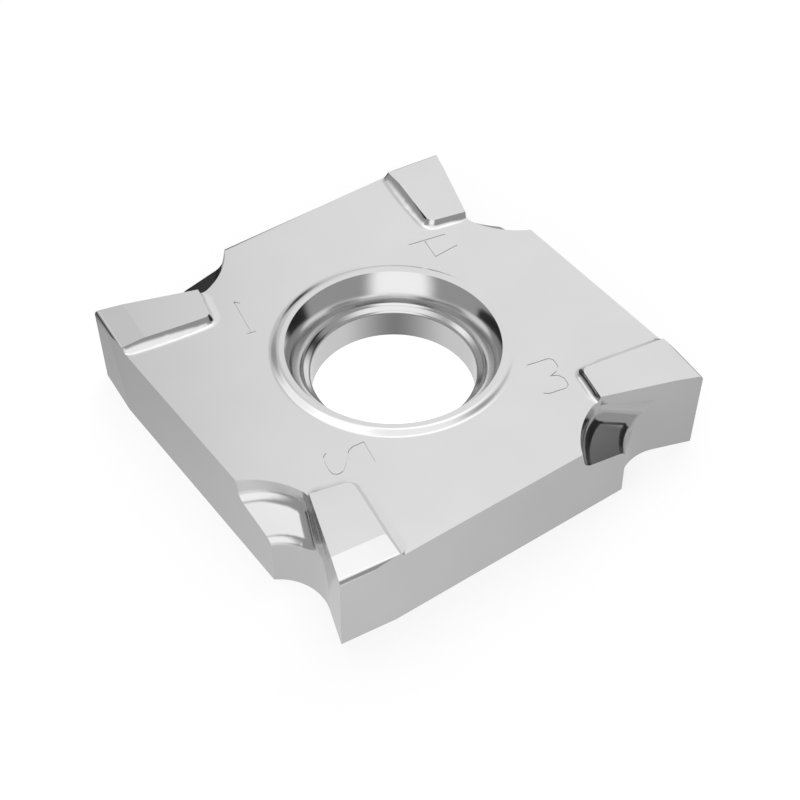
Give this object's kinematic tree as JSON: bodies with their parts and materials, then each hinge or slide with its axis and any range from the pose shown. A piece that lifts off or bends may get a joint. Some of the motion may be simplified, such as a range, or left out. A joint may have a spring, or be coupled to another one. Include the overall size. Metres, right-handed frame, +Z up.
{
  "type": "carbide insert",
  "caption": "Square indexable carbide cutting insert with raised corner teeth, ground notches, chip pockets and a countersunk central screw hole.",
  "frame": {"origin": "on the axis of the screw hole, at the flat bottom face", "axes": "+Z up along the screw hole towards the countersunk top with the raised teeth; X and Y square to the straight sides"},
  "size_m": [0.0126, 0.0126, 0.0027],
  "materials": {
    "carbide": "satin ground cemented carbide, polished in the countersink and the chip pockets"
  },
  "bodies": {
    "root": {"insert_body": "carbide"}
  },
  "joints": []
}
